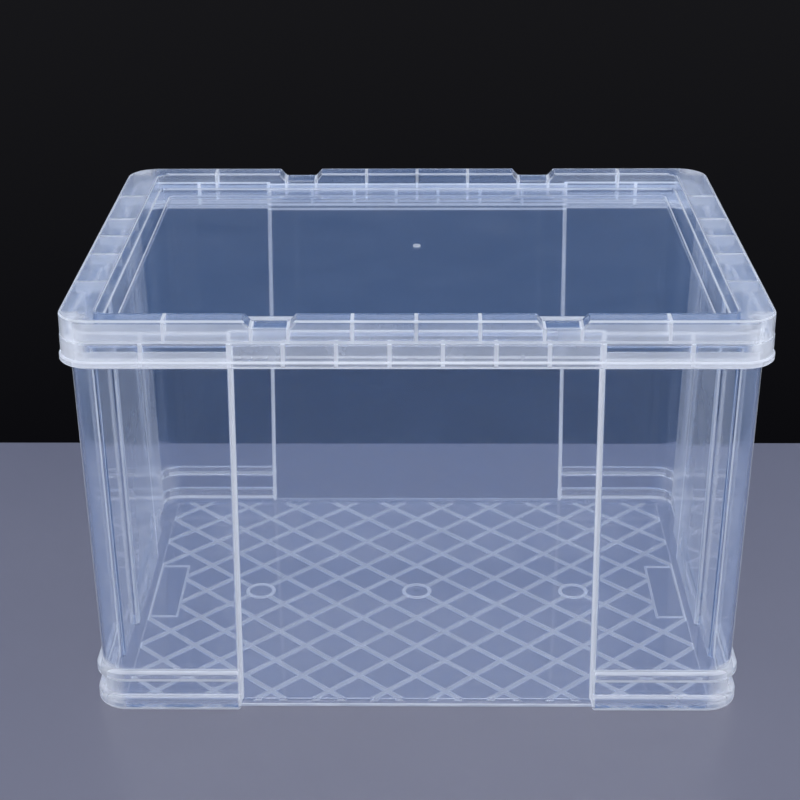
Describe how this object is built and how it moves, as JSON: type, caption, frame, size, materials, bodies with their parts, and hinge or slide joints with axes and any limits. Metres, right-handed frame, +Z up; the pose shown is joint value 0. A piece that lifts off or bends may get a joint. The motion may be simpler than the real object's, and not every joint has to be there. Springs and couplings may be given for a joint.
{
  "type": "clear stacking container with lift-off lid",
  "caption": "Clear moulded plastic container: deep rectangular tub with corner pillars and ribbed floor, and a flat lift-off lid with a raised stacking band.",
  "frame": {"origin": "centre of the footprint on the resting plane under the tub", "axes": "+X along the long side, +Z up to the lid, the long side the picture faces is towards -Y"},
  "size_m": [0.532, 0.401, 0.336],
  "materials": {
    "clear_tub": "clear polypropylene, glossy, slightly milky",
    "clear_lid": "clear polypropylene, glossy, slightly milky"
  },
  "bodies": {
    "tub": {"tub": "clear_tub"},
    "lid": {"lid": "clear_lid"}
  },
  "joints": [
    {"name": "lid_lift", "type": "slide", "parent": "tub", "child": "lid", "axis": [0, 0, 1], "range_m": [0, 0.2]}
  ]
}
